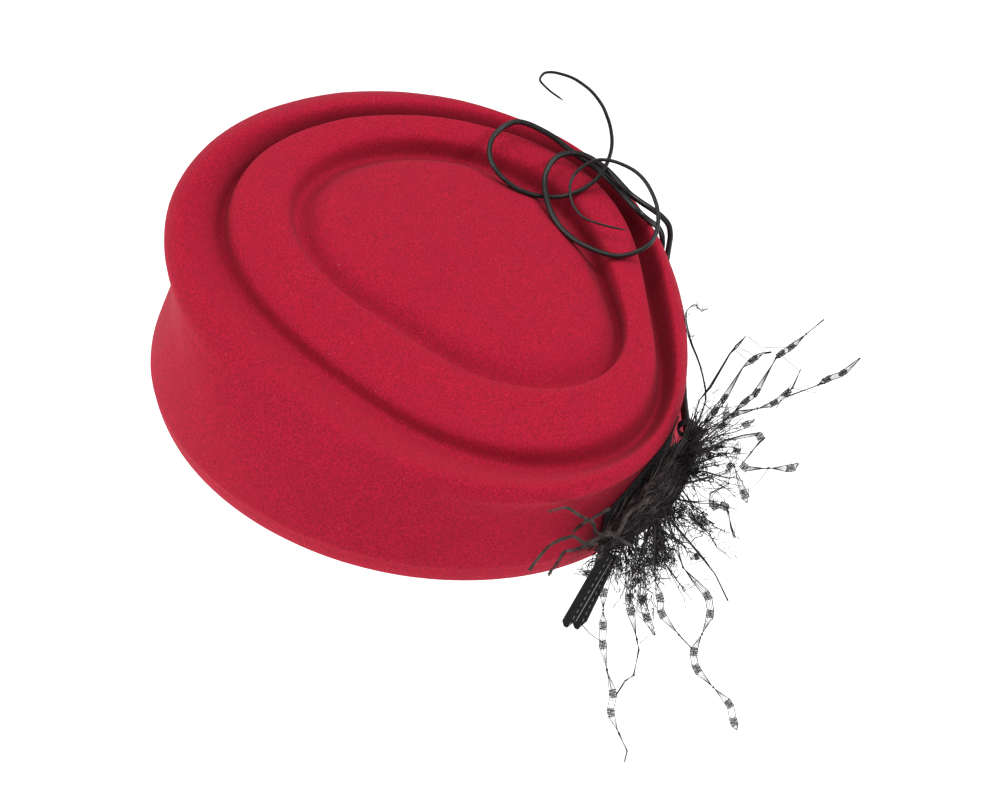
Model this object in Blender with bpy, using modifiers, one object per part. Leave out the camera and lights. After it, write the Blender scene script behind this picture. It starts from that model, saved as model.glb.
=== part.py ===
"""Percher hat with curled quills and a shredded-veil trim.

Metres, +Z up. The hem lies in the plane z = 0, the origin is the centre of the
head opening there, and +X runs along the hat's long axis towards its low end.
"""

import math

import bpy
from mathutils import Matrix, Vector

MM = 0.001
GAP = 0.3 * MM

# Felt body: rings of the block, read as distances from the origin's upright axis.
FELT = 2.0 * MM
AROUND = 60
HEM_TURN = 10 * MM
HEM_WIDTH = 6.4 * MM
HEM_SETBACK = 2 * MM


class Ring:
    """A closed ring round the hat: a circle that is shifted, made oval, egg-shaped or square, and tilted.

    Each change is (millimetres, degrees): how much, and the azimuth where it adds most.
    """

    def __init__(self, radius, shift, oval, egg, height, tilt, square=(0, 0)):
        self.mean = radius * MM
        self.waves = [(amount * MM, math.radians(toward)) for amount, toward in (shift, oval, egg, square)]
        self.mean_height = height * MM
        self.tilt, self.high_side = tilt[0] * MM, math.radians(tilt[1])

    def radius(self, az):
        waves = enumerate(self.waves, start=1)
        return self.mean + sum(amount * math.cos(n * (az - toward)) for n, (amount, toward) in waves)

    def height(self, az):
        return self.mean_height + self.tilt * math.cos(az - self.high_side)


BULGE = Ring(108, shift=(4.5, 239), oval=(4.5, 162), egg=(0, 0), height=9, tilt=(0, 0))
NECK = Ring(101.9, shift=(7.7, 259), oval=(8, -4), egg=(1, 42), height=34, tilt=(4, 180), square=(0.7, 2))
RIM = Ring(
    105, shift=(6.4, 212), oval=(8.9, 1), egg=(2.5, 3), height=52.5, tilt=(14, 176), square=(1.2, -5)
)
CREST = Ring(98.5, shift=(3.6, 263), oval=(6.5, 2), egg=(5.2, 2), height=58.5, tilt=(15.5, 174))
GROOVE = Ring(
    87, shift=(6.1, 134), oval=(8.6, 9), egg=(4.7, 5), height=51, tilt=(11.5, 185), square=(1.3, 18)
)
SHOULDER = Ring(
    83, shift=(5.4, 140), oval=(8.6, 9), egg=(4.7, 5), height=60, tilt=(13, 171), square=(1.3, 18)
)
INNER_GROOVE = Ring(
    60.5, shift=(15.7, 130), oval=(7.9, 18), egg=(3.3, 22), height=56, tilt=(7.7, 200), square=(1.1, 30)
)
CROWN_CENTRE = Vector((-10 * MM, 13 * MM, 65 * MM))

# Inside the hat.
WIRE_RADIUS = 0.8 * MM
BAND_THICK = 0.8 * MM
BAND_LOW = 3 * MM
BAND_HIGH = 22 * MM
COMB_X = -97.6 * MM
COMB_HINGE_Z = 5 * MM
COMB_SPINE = 6 * MM
COMB_THICK = 1.6 * MM
COMB_TEETH = 12
TOOTH_PITCH = 3.5 * MM
TOOTH_WIDTH = 1.7 * MM
TOOTH_LENGTH = 28 * MM
STITCH_RING = 3.7 * MM
STITCH_THREAD = 0.4 * MM

# Trim: sewn to the side wall near the low end. The spray fans out in a plane that
# faces SPRAY_FACES, leans back by SPRAY_LEAN and is turned in itself by SPRAY_TURN.
TRIM_AZIMUTHS = (9, 22, 35)
TRIM_HEIGHTS = (17, 25, 33)
CORE_RADIUS = 5 * MM
SPRAY_CENTRE = Vector((101 * MM, 43 * MM, 27 * MM))
SPRAY_FACES = math.radians(-31)
SPRAY_LEAN = math.radians(35.5)
SPRAY_TURN = math.radians(10.5)
STRAP_WIDTH = 4.8 * MM
STRAP_THICK = 1.2 * MM


def on_ring(oval, az, inset=0.0, lift=0.0):
    reach = oval.radius(az) - inset
    return Vector((reach * math.cos(az), reach * math.sin(az), oval.height(az) + lift))


def section_controls(az):
    """The felt's outer face at one azimuth, from the hem's turned-up edge to the crown.

    Each entry is a control point of the cross-section and how many steps follow it.
    """
    low = -BULGE.height(az)
    far_side = HEM_SETBACK + HEM_WIDTH
    shoulder = on_ring(SHOULDER, az)
    inner = on_ring(INNER_GROOVE, az)
    overhang = max(0, RIM.radius(az) - NECK.radius(az))
    under_rim = on_ring(NECK, az).lerp(on_ring(RIM, az), 0.6)
    under_rim -= Vector((math.cos(az), math.sin(az), 0)) * 0.25 * overhang
    return [
        (on_ring(BULGE, az, far_side, low + HEM_TURN), 2),
        (on_ring(BULGE, az, far_side, low + 2.5 * MM), 1),
        (on_ring(BULGE, az, far_side - 1.6 * MM, low), 1),
        (on_ring(BULGE, az, HEM_SETBACK + 1.6 * MM, low), 1),
        (on_ring(BULGE, az, HEM_SETBACK, low + 2.5 * MM), 1),
        (on_ring(BULGE, az, 0.5 * MM, low + 7 * MM), 1),
        (on_ring(BULGE, az), 2),
        (on_ring(NECK, az), 2),
        (under_rim, 1),
        (on_ring(RIM, az), 2),
        (on_ring(CREST, az), 2),
        (on_ring(GROOVE, az), 2),
        (shoulder, 2),
        (shoulder.lerp(inner, 0.3) + Vector((0, 0, 3.2 * MM)), 2),
        (shoulder.lerp(inner, 0.78) + Vector((0, 0, 5.4 * MM)), 2),
        (inner, 2),
        (inner.lerp(CROWN_CENTRE, 0.17) + Vector((0, 0, 4 * MM)), 1),
        (inner.lerp(CROWN_CENTRE, 0.55) + Vector((0, 0, 3.2 * MM)), 1),
        (CROWN_CENTRE, 0),
    ]


def spline_point(before, here, after, beyond, u):
    """The Catmull-Rom point at u between here and after, paced by the root of the spacing."""
    pairs = ((before, here), (here, after), (after, beyond))
    a, b, c = (math.sqrt(max((q - p).length, 0.1 * MM)) for p, q in pairs)
    leave = ((here - before) / a - (after - before) / (a + b) + (after - here) / b) * b
    arrive = ((after - here) / b - (beyond - here) / (b + c) + (beyond - after) / c) * b
    return (
        (2 * u**3 - 3 * u**2 + 1) * here
        + (u**3 - 2 * u**2 + u) * leave
        + (-2 * u**3 + 3 * u**2) * after
        + (u**3 - u**2) * arrive
    )


def smooth_section(controls):
    line = []
    for i, (here, steps) in enumerate(controls[:-1]):
        after = controls[i + 1][0]
        before = controls[i - 1][0] if i else here
        beyond = controls[min(i + 2, len(controls) - 1)][0]
        line += [spline_point(before, here, after, beyond, k / steps) for k in range(steps)]
    return line


def add_object(name, data, material):
    data.materials.append(material)
    obj = bpy.data.objects.new(name, data)
    HAT.objects.link(obj)
    return obj


def add_mesh(name, vertices, faces, material):
    mesh = bpy.data.meshes.new(name)
    mesh.from_pydata([tuple(v) for v in vertices], [], faces)
    return add_object(name, mesh, material)


def make_material(name, colour, roughness, metallic=0.0):
    material = bpy.data.materials.new(name)
    material.use_nodes = True
    shader = material.node_tree.nodes["Principled BSDF"]
    shader.inputs["Base Color"].default_value = (*colour, 1)
    shader.inputs["Roughness"].default_value = roughness
    shader.inputs["Metallic"].default_value = metallic
    return material


def shade(obj, angle=40):
    obj.data.shade_smooth()
    obj.data.set_sharp_from_angle(angle=math.radians(angle))


def add_solidify(obj, thickness, offset=-1.0):
    shell = obj.modifiers.new("shell", "SOLIDIFY")
    shell.thickness = thickness
    shell.offset = offset
    shell.use_even_offset = True


def add_felt_body():
    """The blocked felt: an open sheet from the hem's turned-up edge to the crown, made solid."""
    columns = [smooth_section(section_controls(2 * math.pi * i / AROUND)) for i in range(AROUND)]
    rows = len(columns[0])
    vertices = [p for column in columns for p in column] + [CROWN_CENTRE]
    faces = []
    for i in range(AROUND):
        here, beside = i * rows, (i + 1) % AROUND * rows
        for k in range(rows - 1):
            faces.append((here + k, beside + k, beside + k + 1, here + k + 1))
        faces.append((here + rows - 1, beside + rows - 1, len(vertices) - 1))
    body = add_mesh("felt_body", vertices, faces, make_material("red_felt", (0.48, 0.012, 0.035), 0.95))
    add_solidify(body, FELT)
    shade(body, 60)


def wall_point(az_degrees, height, out=0.0):
    """A point on the felt's outer wall at an azimuth and height (mm), moved out from it (mm)."""
    az = math.radians(az_degrees)
    line = [p for p in smooth_section(section_controls(az))[6:14]]
    reach = None
    for low, high in zip(line, line[1:]):
        if low.z <= height * MM <= high.z:
            reach = low.lerp(high, (height * MM - low.z) / (high.z - low.z)).xy.length
            break
    reach += out * MM
    return Vector((reach * math.cos(az), reach * math.sin(az), height * MM))


def spray_frame():
    """The spray's own axes as a matrix: X to the side, Y up the fan, Z out of it."""
    out = Vector((
        math.cos(SPRAY_FACES) * math.cos(SPRAY_LEAN),
        math.sin(SPRAY_FACES) * math.cos(SPRAY_LEAN),
        math.sin(SPRAY_LEAN),
    ))
    level = Vector((-math.sin(SPRAY_FACES), math.cos(SPRAY_FACES), 0))
    rise = out.cross(level)
    side = level * math.cos(SPRAY_TURN) + rise * math.sin(SPRAY_TURN)
    matrix = Matrix((side, out.cross(side), out)).transposed().to_4x4()
    matrix.translation = SPRAY_CENTRE
    return matrix


def in_spray(points):
    """Millimetre points of the spray's frame, as points of the hat."""
    return [SPRAY @ (Vector(p) * MM) for p in points]


def smooth_route(points, steps):
    line = smooth_section([(p, steps) for p in points])
    return line + [points[-1]]


def add_tube(name, points, radius, material, sides=2, closed=False, taper=None):
    """A round tube along points; taper gives each end's share of the radius."""
    curve = bpy.data.curves.new(name, "CURVE")
    curve.dimensions = "3D"
    curve.bevel_depth = radius
    curve.bevel_resolution = sides
    curve.use_fill_caps = not closed
    spline = curve.splines.new("POLY")
    spline.points.add(len(points) - 1)
    last = len(points) - 1
    for i, point in enumerate(points):
        spline.points[i].co = (*point, 1)
        if taper:
            spline.points[i].radius = taper(i / last)
    spline.use_cyclic_u = closed
    return add_object(name, curve, material)


def add_plate(name, outline, thickness, material, matrix):
    """A flat outline, in its own plane, extruded to its thickness."""
    curve = bpy.data.curves.new(name, "CURVE")
    curve.dimensions = "2D"
    curve.fill_mode = "BOTH"
    curve.extrude = thickness / 2
    spline = curve.splines.new("POLY")
    spline.points.add(len(outline) - 1)
    for point, (x, y) in zip(spline.points, outline):
        point.co = (x, y, 0, 1)
    spline.use_cyclic_u = True
    plate = add_object(name, curve, material)
    plate.matrix_world = matrix
    return plate


def add_ring(name, centre, axis, radius, thread, material):
    bpy.ops.mesh.primitive_torus_add(
        major_segments=16, minor_segments=6, major_radius=radius, minor_radius=thread
    )
    ring = bpy.context.object
    for collection in list(ring.users_collection):
        collection.objects.unlink(ring)
    HAT.objects.link(ring)
    ring.name = name
    ring.data.materials.append(material)
    ring.location = centre
    ring.rotation_euler = axis.to_track_quat("Z", "Y").to_euler()
    shade(ring, 60)


def add_hem_wire():
    depth = HEM_SETBACK + HEM_WIDTH / 2
    steps = [2 * math.pi * i / AROUND for i in range(AROUND)]
    loop = [on_ring(BULGE, az, depth, 3.6 * MM - BULGE.height(az)) for az in steps]
    add_tube("hem_wire", loop, WIRE_RADIUS, STEEL, sides=1, closed=True)


def band_point(az, height):
    """The band stands just inside the hem, and leans in where the neck is narrow."""
    at_hem = BULGE.radius(az) - HEM_SETBACK - HEM_WIDTH - 2 * GAP
    at_neck = NECK.radius(az) - FELT - 3 * MM
    share = (height - BAND_LOW) / (BAND_HIGH - BAND_LOW)
    reach = at_hem + (min(at_hem, at_neck) - at_hem) * share
    return Vector((reach * math.cos(az), reach * math.sin(az), height))


def add_head_band():
    heights = (BAND_LOW, (BAND_LOW + BAND_HIGH) / 2, BAND_HIGH)
    vertices = [band_point(2 * math.pi * i / AROUND, h) for i in range(AROUND) for h in heights]
    faces = []
    for i in range(AROUND):
        here, beside = i * 3, (i + 1) % AROUND * 3
        faces += [(here + k, beside + k, beside + k + 1, here + k + 1) for k in range(2)]
    band = add_mesh("head_band", vertices, faces, GROSGRAIN)
    add_solidify(band, BAND_THICK)
    shade(band)


def add_comb():
    """A flat slide comb, standing on its spine; its hinge axis is the spine's middle line."""
    half = COMB_TEETH * TOOTH_PITCH / 2
    low, shoulder = -COMB_SPINE / 2, COMB_SPINE / 2
    outline = [(-half, low), (half, low)]
    for i in range(COMB_TEETH):
        middle = half - (i + 0.5) * TOOTH_PITCH
        root, tip = TOOTH_WIDTH / 2, TOOTH_WIDTH / 4
        outline += [
            (middle + root, shoulder),
            (middle + tip, shoulder + TOOTH_LENGTH),
            (middle - tip, shoulder + TOOTH_LENGTH),
            (middle - root, shoulder),
        ]
    upright = Matrix.Rotation(math.radians(90), 4, "Z") @ Matrix.Rotation(math.radians(90), 4, "X")
    place = Matrix.Translation((COMB_X, 0, COMB_HINGE_Z)) @ upright
    add_plate("slide_comb", outline, COMB_THICK, PLASTIC, place)
    for i, gap in enumerate((-3, -1, 1, 3)):
        centre = Vector((COMB_X, gap * TOOTH_PITCH, COMB_HINGE_Z))
        add_ring(f"comb_stitch_{i + 1}", centre, Vector((0, 1, 0)), STITCH_RING, STITCH_THREAD, THREAD)


def add_elastic_loops():
    """Two small loops on the band that take a hat elastic."""
    for name, az in (("elastic_loop_left", math.radians(82)), ("elastic_loop_right", math.radians(262))):
        outward = Vector((math.cos(az), math.sin(az), 0))
        arc = []
        for k in range(9):
            turn = math.pi * (k / 8 - 0.5)
            foot = band_point(az, 14.5 * MM) - outward * (BAND_THICK + GAP + 0.8 * MM)
            rise = Vector((0, 0, 2.2 * MM * math.sin(turn) - 2.5 * MM))
            arc.append(foot - outward * 4 * MM * math.cos(turn) + rise)
        add_tube(name, arc, 0.7 * MM, ELASTIC, sides=1)


def add_trim_base():
    """The stiff patch on the wall that takes the trim's stitches."""
    rows, columns = 5, 7
    vertices = []
    for i in range(columns):
        az = 11 + 27 * i / (columns - 1)
        narrow = 1 - 0.35 * abs(2 * i / (columns - 1) - 1) ** 2
        for k in range(rows):
            middle = 18 + 15 * (az - 12) / 24
            height = middle + (k / (rows - 1) - 0.5) * 17 * narrow
            vertices.append(wall_point(az, max(height, 9.5), 0.4))
    faces = []
    for i in range(columns - 1):
        for k in range(rows - 1):
            a = i * rows + k
            faces.append((a, a + rows, a + rows + 1, a + 1))
    base = add_mesh("trim_base", vertices, faces, BUCKRAM)
    add_solidify(base, 1.0 * MM, offset=1.0)
    shade(base)


def core_route():
    ends = zip(TRIM_AZIMUTHS, TRIM_HEIGHTS)
    return smooth_route([wall_point(az, height, 8.2) for az, height in ends], 4)


def core_swell(share):
    return 0.5 + 0.5 * math.sin(math.pi * share)


def add_trim_core():
    """The bound middle of the spray, sewn along the wall."""
    add_tube("trim_core", core_route(), CORE_RADIUS, HERL, taper=core_swell)


def from_core(share, target, clearance):
    """The point just off the core, at a share of its length, that faces the target."""
    route = core_route()
    place = share * (len(route) - 1)
    i = min(int(place), len(route) - 2)
    centre = route[i].lerp(route[i + 1], place - i)
    axis = (route[i + 1] - route[i]).normalized()
    away = target - centre
    away -= axis * away.dot(axis)
    return centre + away.normalized() * (CORE_RADIUS * core_swell(share) + clearance * MM)


def add_herl_tufts():
    for i, (share, tip, size) in enumerate(TUFTS):
        tip = in_spray([tip])[0]
        root = from_core(share, tip, 1.0)
        route = [root.lerp(tip, k / 4) for k in range(5)]
        name = f"herl_tuft_{i + 1}"
        add_tube(name, route, size * MM, HERL, taper=lambda u: 0.5 + 0.5 * math.sin(0.85 * math.pi * u))


def quill_taper(u):
    """A quill keeps its thickness for half its length, then thins to its tip."""
    return 1.08 - 0.72 * max(0, 2 * u - 1) ** 1.3


def quill_route(outset, rise, curl):
    """The stem lies round the hat under the rim, then curls over the crown."""
    stem = []
    for az, out, height in QUILL_STEM:
        reach = NECK.radius(math.radians(az)) + (out + outset * min(1.25, max(0, height - 41) / 4)) * MM
        stem.append(Vector((
            reach * math.cos(math.radians(az)),
            reach * math.sin(math.radians(az)),
            (height + rise) * MM,
        )))
    return smooth_route(stem + in_spray(curl), 3)


def add_quills():
    for name, outset, rise, curl in (("quill_1", 0, -1.7, CURL_1), ("quill_2", 2.1, 1.7, CURL_2)):
        add_tube(name, quill_route(outset, rise, curl), 1.0 * MM, QUILL, sides=1, taper=quill_taper)
    first, second = (quill_route(0, rise, curl) for rise, curl in ((-1.7, CURL_1), (1.7, CURL_2)))
    middle = (first[2] + second[2]) / 2
    add_ring("quill_binding", middle, (first[3] - first[1]).normalized(), 3.6 * MM, 0.5 * MM, THREAD)


def add_veil():
    """Each shredded tendril of the diamond net, as the line that its threads follow."""
    for i, (share, points) in enumerate(VEIL):
        line = in_spray(points)
        if share is not None:
            line.insert(0, from_core(share, line[0], 0.9))
        add_tube(f"veil_{i + 1}", line, 0.5 * MM, NET, sides=1)


def add_straps():
    for i, (start, end, out) in enumerate(STRAPS):
        start, end = Vector(start) * MM, Vector(end) * MM
        along = (end - start).normalized()
        across = Vector((-along.y, along.x)) * STRAP_WIDTH / 2
        outline = [start - across, end - across - along * 1.5 * MM, end - across * 0.3, end + across * 0.3]
        outline += [end + across - along * 4 * MM, start + across]
        place = SPRAY @ Matrix.Translation((0, 0, out * MM))
        add_plate(f"stitched_strap_{i + 1}", outline, STRAP_THICK, LEATHER, place)


# Routes in the spray's frame, in millimetres: to the side, up the fan, out of it.
CURL_1 = [
    (-3, 104, -74), (-18, 121, -88), (-29, 129, -91), (-38, 136, -92), (-51, 141, -91),
    (-60, 135, -87), (-61, 125, -81), (-51, 114, -77), (-34, 111, -79), (-20, 118, -81), (-14, 131, -83),
    (-18, 147, -82), (-29, 157, -80), (-40, 159, -79), (-42, 156, -78), (-33, 148, -76),
]
CURL_2 = [
    (-7, 112, -79), (-16, 122, -84), (-26, 128, -86), (-35, 127, -84), (-40, 119, -80),
    (-38, 105, -70), (-32, 96.1, -63.8), (-23, 90, -58.5), (-11, 87, -55), (0, 92, -56), (3, 104, -62),
    (-4, 119, -69), (-19, 125, -75), (-29, 119, -75), (-30, 109, -70), (-25, 102, -66), (-9, 97, -60),
]
# Azimuth in degrees, then millimetres: outside the neck's radius, and height.
QUILL_STEM = [
    (36.4, 8.2, 33.8), (42, 4.6, 34), (49, 2.4, 34.5), (56, 2, 36), (64, 2.6, 38.5), (74, 4.6, 41),
    (83, 5.6, 40), (90, 7.6, 41.5), (95, 10.2, 46), (98, 11.6, 57),
]
# Share of the core's length that it grows from, tip, and thickest radius.
TUFTS = [
    (0.17, (-11, -33, 5), 2.0),
    (0.26, (-6, -37, 8), 2.4),
    (0.36, (1, -36, 9), 2.8),
    (0.47, (7, -29, 8), 3.0),
    (0.58, (15, -17, 4), 3.0),
    (0.71, (21, -3, 0), 2.8),
    (0.84, (25, 10, -4), 2.8),
    (0.97, (22, 23, -10), 2.6),
]
# Share of the core's length that each tendril grows from, and its route.
VEIL = [
    (0.98, [(13.5, 24, -3), (16, 31, 0), (21, 36, -2), (27, 49, -4), (33, 56, -6)]),
    (0.93, [(15, 22, 3), (21, 32, 8), (25, 34, 8), (32, 44, 6), (36, 48, 5), (42, 49, 4)]),
    (0.86, [
        (16, 17.5, 6), (23, 21, 14), (28, 28, 15), (35, 35, 15), (44, 48, 14), (50, 53, 12), (60, 61, 10),
    ]),
    (0.79, [
        (15, 14, 11), (25, 17, 20), (34, 20, 22), (38, 27, 22), (43, 31, 22), (47, 36, 23), (51, 43, 23),
    ]),
    (None, [(44, 31, 26), (50, 34, 27), (57, 37, 28), (66, 41, 29), (72, 47, 30)]),
    (0.72, [(14, 12, 8), (25, 16, 14), (37, 18, 16), (35, 12, 17), (31, 7, 17), (41, 6, 17), (51, 9, 16)]),
    (0.65, [(13, 9, 5), (23, 10, 6), (27, 8, 6), (30, 2, 7), (32, -6, 8)]),
    (0.58, [
        (11, 3, 9), (21, 4, 14), (26, 2, 15), (24, -4, 16), (23, -8, 17), (25, -13, 18), (27, -18, 19),
    ]),
    (None, [
        (15, 20.5, -13.5), (21.5, 32, -25.5), (20.5, 45, -37), (18, 56, -44), (17, 66, -47), (19, 69, -47),
        (23, 67, -46),
    ]),
    (0.52, [(5, -6, 10), (12, -19, 11), (17, -30, 10.5), (22, -37, 9), (26, -41, 10)]),
    (0.44, [
        (5, -8, 14), (10, -20, 17), (12, -30, 19), (17.6, -38.3, 20.5), (18.5, -45.1, 21.5),
        (16, -51.5, 22),
        (12.4, -58.4, 24), (13.6, -65.2, 24), (19.4, -71, 24.5), (25.3, -76.8, 25), (27, -83.6, 25.5),
    ]),
    (0.36, [
        (0, -11, 18), (-1, -25, 24), (0.4, -37.7, 27), (1.3, -45.5, 28), (6.5, -52, 28), (8.8, -54.3, 28),
    ]),
    (0.16, [
        (-12, -17, 18), (-17, -29, 20), (-19, -43, 22), (-20, -57, 23), (-17, -72, 23), (-17, -81, 24),
        (-14, -89, 25), (-12, -94, 26), (-13, -98, 26),
    ]),
    (0.23, [
        (-7, -14, 22), (-10, -29, 27), (-9, -43, 29), (-7, -57, 30), (-9, -67, 30), (-13, -71, 29),
        (-16, -77, 27),
    ]),
    (0.3, [(-4, -12, 22), (-7, -27, 33), (-8, -39, 34), (-5, -45, 34), (-3, -50, 34)]),
    (0.08, [
        (-20, -15.5, 17), (-24, -18, 18.5), (-28, -20, 21), (-31, -17, 26), (-37, -20, 29), (-40, -22, 31),
        (-43, -26, 31),
    ]),
    (0.17, [(-16, -11, 18), (-21, -11, 23), (-25, -9, 27), (-29, -7, 35), (-34, -6, 45), (-40, -8, 50)]),
    (0.02, [(-26, -21, 17), (-31, -23, 20), (-35, -28, 22), (-40, -32, 22)]),
]
STRAPS = [((-18.3, -23.6), (-33.6, -50), 13), ((-16.6, -23.9), (-29.6, -51), 8.5)]

for old in list(bpy.data.objects):
    bpy.data.objects.remove(old, do_unlink=True)
HAT = bpy.data.collections.new("fascinator_headpiece")
bpy.context.scene.collection.children.link(HAT)
SPRAY = spray_frame()
STEEL = make_material("steel_wire", (0.45, 0.45, 0.46), 0.35, 1.0)
GROSGRAIN = make_material("grosgrain", (0.03, 0.025, 0.028), 0.8)
PLASTIC = make_material("comb_plastic", (0.02, 0.02, 0.02), 0.3)
THREAD = make_material("black_thread", (0.015, 0.013, 0.015), 0.7)
ELASTIC = make_material("elastic", (0.02, 0.02, 0.02), 0.7)
BUCKRAM = make_material("buckram", (0.02, 0.018, 0.02), 0.9)
HERL = make_material("herl", (0.012, 0.01, 0.011), 0.7)
QUILL = make_material("quill", (0.015, 0.014, 0.014), 0.3)
NET = make_material("veiling", (0.02, 0.018, 0.02), 0.6)
LEATHER = make_material("strap_leather", (0.012, 0.011, 0.011), 0.35)
add_felt_body()
add_hem_wire()
add_head_band()
add_comb()
add_elastic_loops()
add_trim_base()
add_trim_core()
add_herl_tufts()
add_quills()
add_veil()
add_straps()
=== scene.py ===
"""The finished look of a percher hat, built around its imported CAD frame.

Metres, +Z up, in the frame's own axes. Each piece stands where its CAD node stands.
"""

import math
import random

import bpy
from mathutils import Matrix, Vector, noise


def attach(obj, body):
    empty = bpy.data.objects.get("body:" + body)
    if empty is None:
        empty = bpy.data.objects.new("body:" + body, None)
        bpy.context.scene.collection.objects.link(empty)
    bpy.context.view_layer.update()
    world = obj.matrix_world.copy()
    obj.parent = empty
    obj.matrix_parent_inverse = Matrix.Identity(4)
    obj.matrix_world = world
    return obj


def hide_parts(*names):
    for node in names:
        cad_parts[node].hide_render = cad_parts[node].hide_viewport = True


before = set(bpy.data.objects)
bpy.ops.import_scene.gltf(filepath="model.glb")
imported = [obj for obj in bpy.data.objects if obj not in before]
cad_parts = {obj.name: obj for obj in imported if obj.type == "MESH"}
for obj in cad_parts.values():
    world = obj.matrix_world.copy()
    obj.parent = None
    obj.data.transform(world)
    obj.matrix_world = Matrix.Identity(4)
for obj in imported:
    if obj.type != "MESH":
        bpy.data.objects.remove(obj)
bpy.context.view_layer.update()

MM = 0.001
GAP = 0.3 * MM

# Felt body: rings of the block, read as distances from the origin's upright axis.
FELT = 2.0 * MM
AROUND = 360
HEM_TURN = 10 * MM
HEM_WIDTH = 6.4 * MM
HEM_SETBACK = 2 * MM


class Ring:
    """A closed ring round the hat: a circle that is shifted, made oval, egg-shaped or square, and tilted.

    Each change is (millimetres, degrees): how much, and the azimuth where it adds most.
    """

    def __init__(self, radius, shift, oval, egg, height, tilt, square=(0, 0)):
        self.mean = radius * MM
        self.waves = [(amount * MM, math.radians(toward)) for amount, toward in (shift, oval, egg, square)]
        self.mean_height = height * MM
        self.tilt, self.high_side = tilt[0] * MM, math.radians(tilt[1])

    def radius(self, az):
        waves = enumerate(self.waves, start=1)
        return self.mean + sum(amount * math.cos(n * (az - toward)) for n, (amount, toward) in waves)

    def height(self, az):
        return self.mean_height + self.tilt * math.cos(az - self.high_side)


BULGE = Ring(108, shift=(4.5, 239), oval=(4.5, 162), egg=(0, 0), height=9, tilt=(0, 0))
NECK = Ring(101.9, shift=(7.7, 259), oval=(8, -4), egg=(1, 42), height=34, tilt=(4, 180), square=(0.7, 2))
RIM = Ring(
    105, shift=(6.4, 212), oval=(8.9, 1), egg=(2.5, 3), height=52.5, tilt=(14, 176), square=(1.2, -5)
)
CREST = Ring(98.5, shift=(3.6, 263), oval=(6.5, 2), egg=(5.2, 2), height=58.5, tilt=(15.5, 174))
GROOVE = Ring(
    87, shift=(6.1, 134), oval=(8.6, 9), egg=(4.7, 5), height=51, tilt=(11.5, 185), square=(1.3, 18)
)
SHOULDER = Ring(
    83, shift=(5.4, 140), oval=(8.6, 9), egg=(4.7, 5), height=60, tilt=(13, 171), square=(1.3, 18)
)
INNER_GROOVE = Ring(
    60.5, shift=(15.7, 130), oval=(7.9, 18), egg=(3.3, 22), height=56, tilt=(7.7, 200), square=(1.1, 30)
)
CROWN_CENTRE = Vector((-10 * MM, 13 * MM, 65 * MM))

# Inside the hat.
BAND_THICK = 0.8 * MM
BAND_LOW = 3 * MM
BAND_HIGH = 22 * MM
BAND_RIBS = 480
BAND_TACKS = 84
COMB_X = -97.6 * MM
COMB_HINGE_Z = 5 * MM
COMB_SPINE = 6 * MM
COMB_THICK = 1.6 * MM
COMB_TEETH = 12
TOOTH_PITCH = 3.5 * MM
TOOTH_WIDTH = 1.7 * MM
TOOTH_LENGTH = 28 * MM
STITCH_RING = 3.7 * MM

# Trim: sewn to the side wall near the low end. The spray fans out in a plane that
# faces SPRAY_FACES, leans back by SPRAY_LEAN and is turned in itself by SPRAY_TURN.
TRIM_AZIMUTHS = (9, 22, 35)
TRIM_HEIGHTS = (17, 25, 33)
CORE_RADIUS = 5 * MM
CORE_LENGTH = 52 * MM
CORE_FIBRES = 700
SPRAY_CENTRE = Vector((101 * MM, 43 * MM, 27 * MM))
SPRAY_FACES = math.radians(-31)
SPRAY_LEAN = math.radians(35.5)
SPRAY_TURN = math.radians(10.5)
STRAP_WIDTH = 4.8 * MM
STRAP_THICK = 1.2 * MM
STITCH_PITCH = 2.7 * MM

# The camera, in degrees and metres, then the floor's height and the lights' strengths.
CAMERA_LENS = 121.7
CAMERA_DISTANCE = 1.3
CAMERA_AZIMUTH = -30.81
CAMERA_HEIGHT_ANGLE = 35.36
CAMERA_ROLL = -10.46
CAMERA_SIDE = 26.63 * MM
CAMERA_RISE = 5.6 * MM
FLOOR = -0.3
DOME = 0.36
KEY_POWER = 13
LEFT_POWER = 9
TOP_POWER = 9
LIT_POINT = Vector((0, 0, 0.03))


def polar(reach, az, height=0.0):
    """The point at a reach from the origin's upright axis, an azimuth in radians and a height."""
    return Vector((reach * math.cos(az), reach * math.sin(az), height))


def on_ring(oval, az, inset=0.0, lift=0.0):
    return polar(oval.radius(az) - inset, az, oval.height(az) + lift)


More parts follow.
